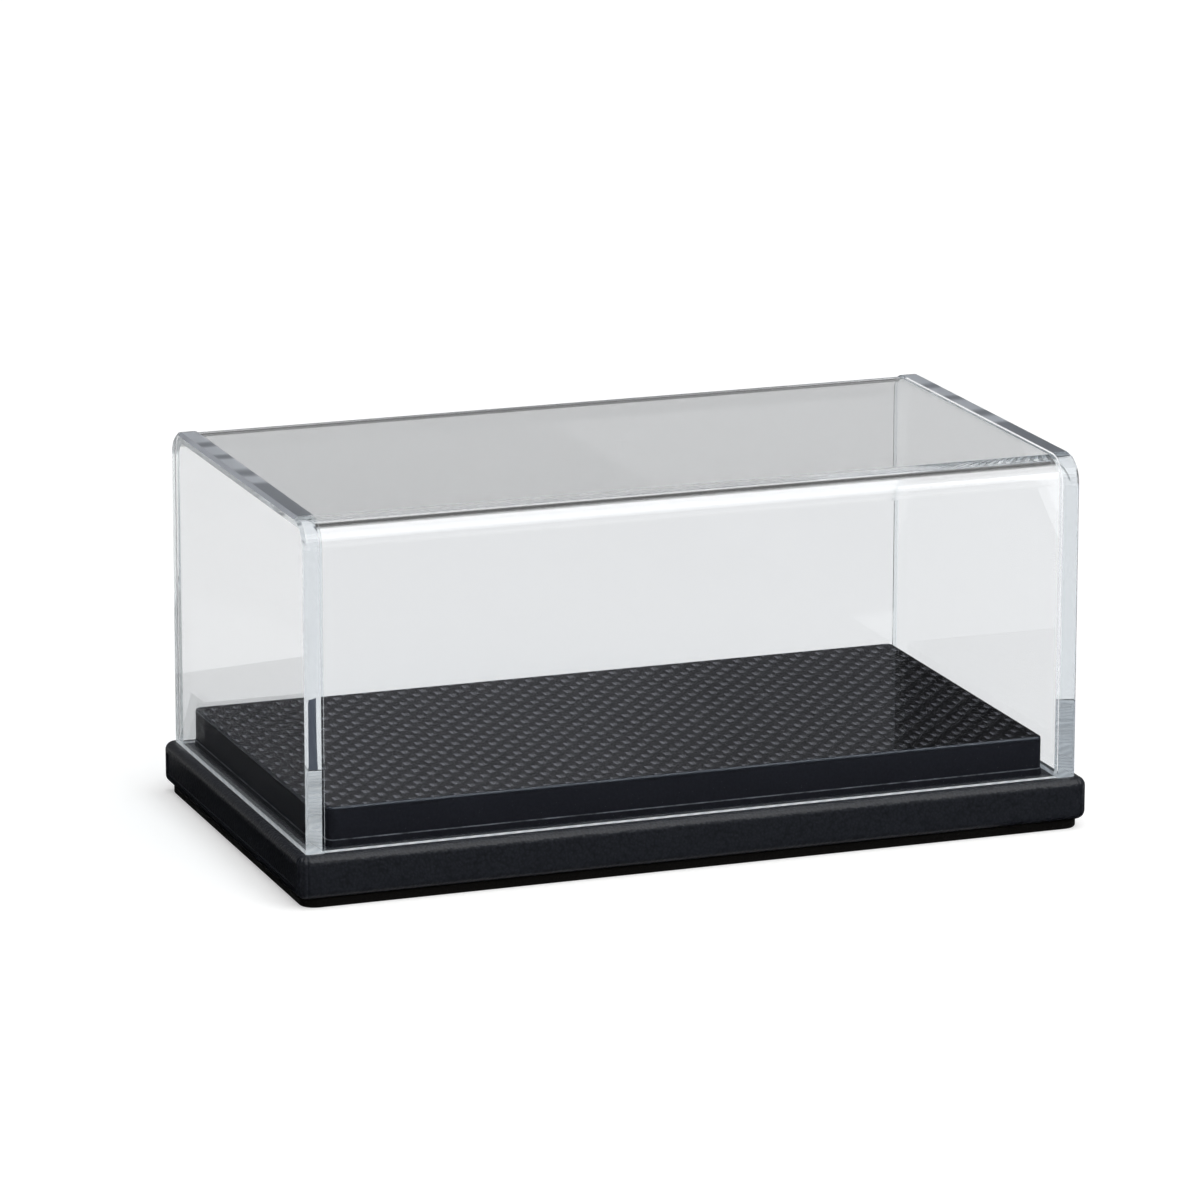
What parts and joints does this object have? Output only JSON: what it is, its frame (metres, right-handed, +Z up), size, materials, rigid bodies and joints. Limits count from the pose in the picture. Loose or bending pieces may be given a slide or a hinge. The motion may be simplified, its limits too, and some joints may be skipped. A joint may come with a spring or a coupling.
{
  "type": "model car display case",
  "caption": "Display case for a small model car: clear bent-sheet cover that lifts off a leather-covered base, with a black plinth and carbon-weave top inside.",
  "frame": {"origin": "middle of the felt pad's underside, on the surface that the case stands on", "axes": "+X along the length towards the right end, +Y towards the back, +Z up, the way the cover lifts"},
  "size_m": [0.154, 0.085, 0.0708],
  "materials": {
    "clear_acrylic": "clear polished acrylic",
    "carbon_weave": "black plain weave under clear gloss",
    "black_plinth": "satin black",
    "black_leather": "fine pebbled grain",
    "fibreboard": "sawn",
    "black_felt": "pressed wool felt"
  },
  "bodies": {
    "base": {"carbon_sheet": "carbon_weave", "plinth_block": "black_plinth", "foot_plate": "black_plinth", "leather_wrap": "black_leather", "base_board": "fibreboard", "felt_pad": "black_felt"},
    "cover": {"cover_sheet": "clear_acrylic", "left_end_panel": "clear_acrylic", "right_end_panel": "clear_acrylic"}
  },
  "joints": [
    {"name": "cover_lift", "type": "slide", "parent": "base", "child": "cover", "axis": [0, 0, 1], "range_m": [0, 0.08]}
  ]
}
